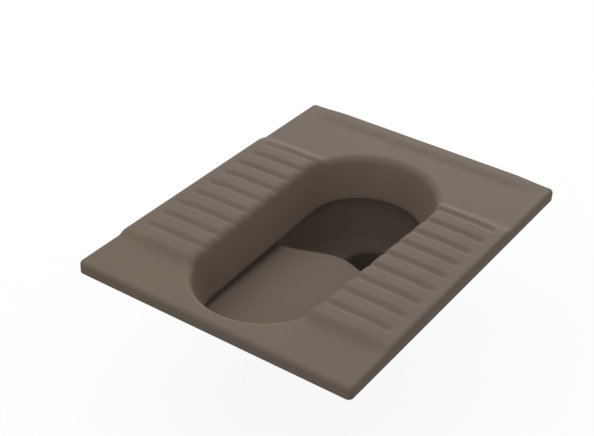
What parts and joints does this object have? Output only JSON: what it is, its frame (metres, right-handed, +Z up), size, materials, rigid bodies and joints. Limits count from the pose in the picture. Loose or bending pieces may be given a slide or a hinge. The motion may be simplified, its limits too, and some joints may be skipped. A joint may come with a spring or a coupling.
{
  "type": "squat toilet",
  "caption": "Squat toilet pan with ribbed footrests, an inner rim, a sloping trough and a deep sump, with rubber seals for a bottom waste outlet and a rear flush pipe.",
  "frame": {"origin": "middle of the base: the platform's centre in plan, at the height of the spigot's end and the feet of the legs", "axes": "+Z up, +Y toward the deep end with the waste outlet and the flush inlet, +X to the right of a user who faces the deep end"},
  "size_m": [0.44, 0.58, 0.228],
  "materials": {
    "glaze": "satin warm taupe glaze",
    "bare_china": "unglazed fired china",
    "black_rubber": "matt black rubber"
  },
  "bodies": {
    "root": {"deck_plate": "glaze", "deck_skirt": "glaze", "left_footrest": "glaze", "right_footrest": "glaze", "rim_curtain": "glaze", "trough": "glaze", "sump": "glaze", "outlet_spigot": "bare_china", "outlet_gasket": "black_rubber", "inlet_horn": "bare_china", "inlet_seal": "black_rubber", "left_leg": "bare_china", "right_leg": "bare_china"}
  },
  "joints": []
}
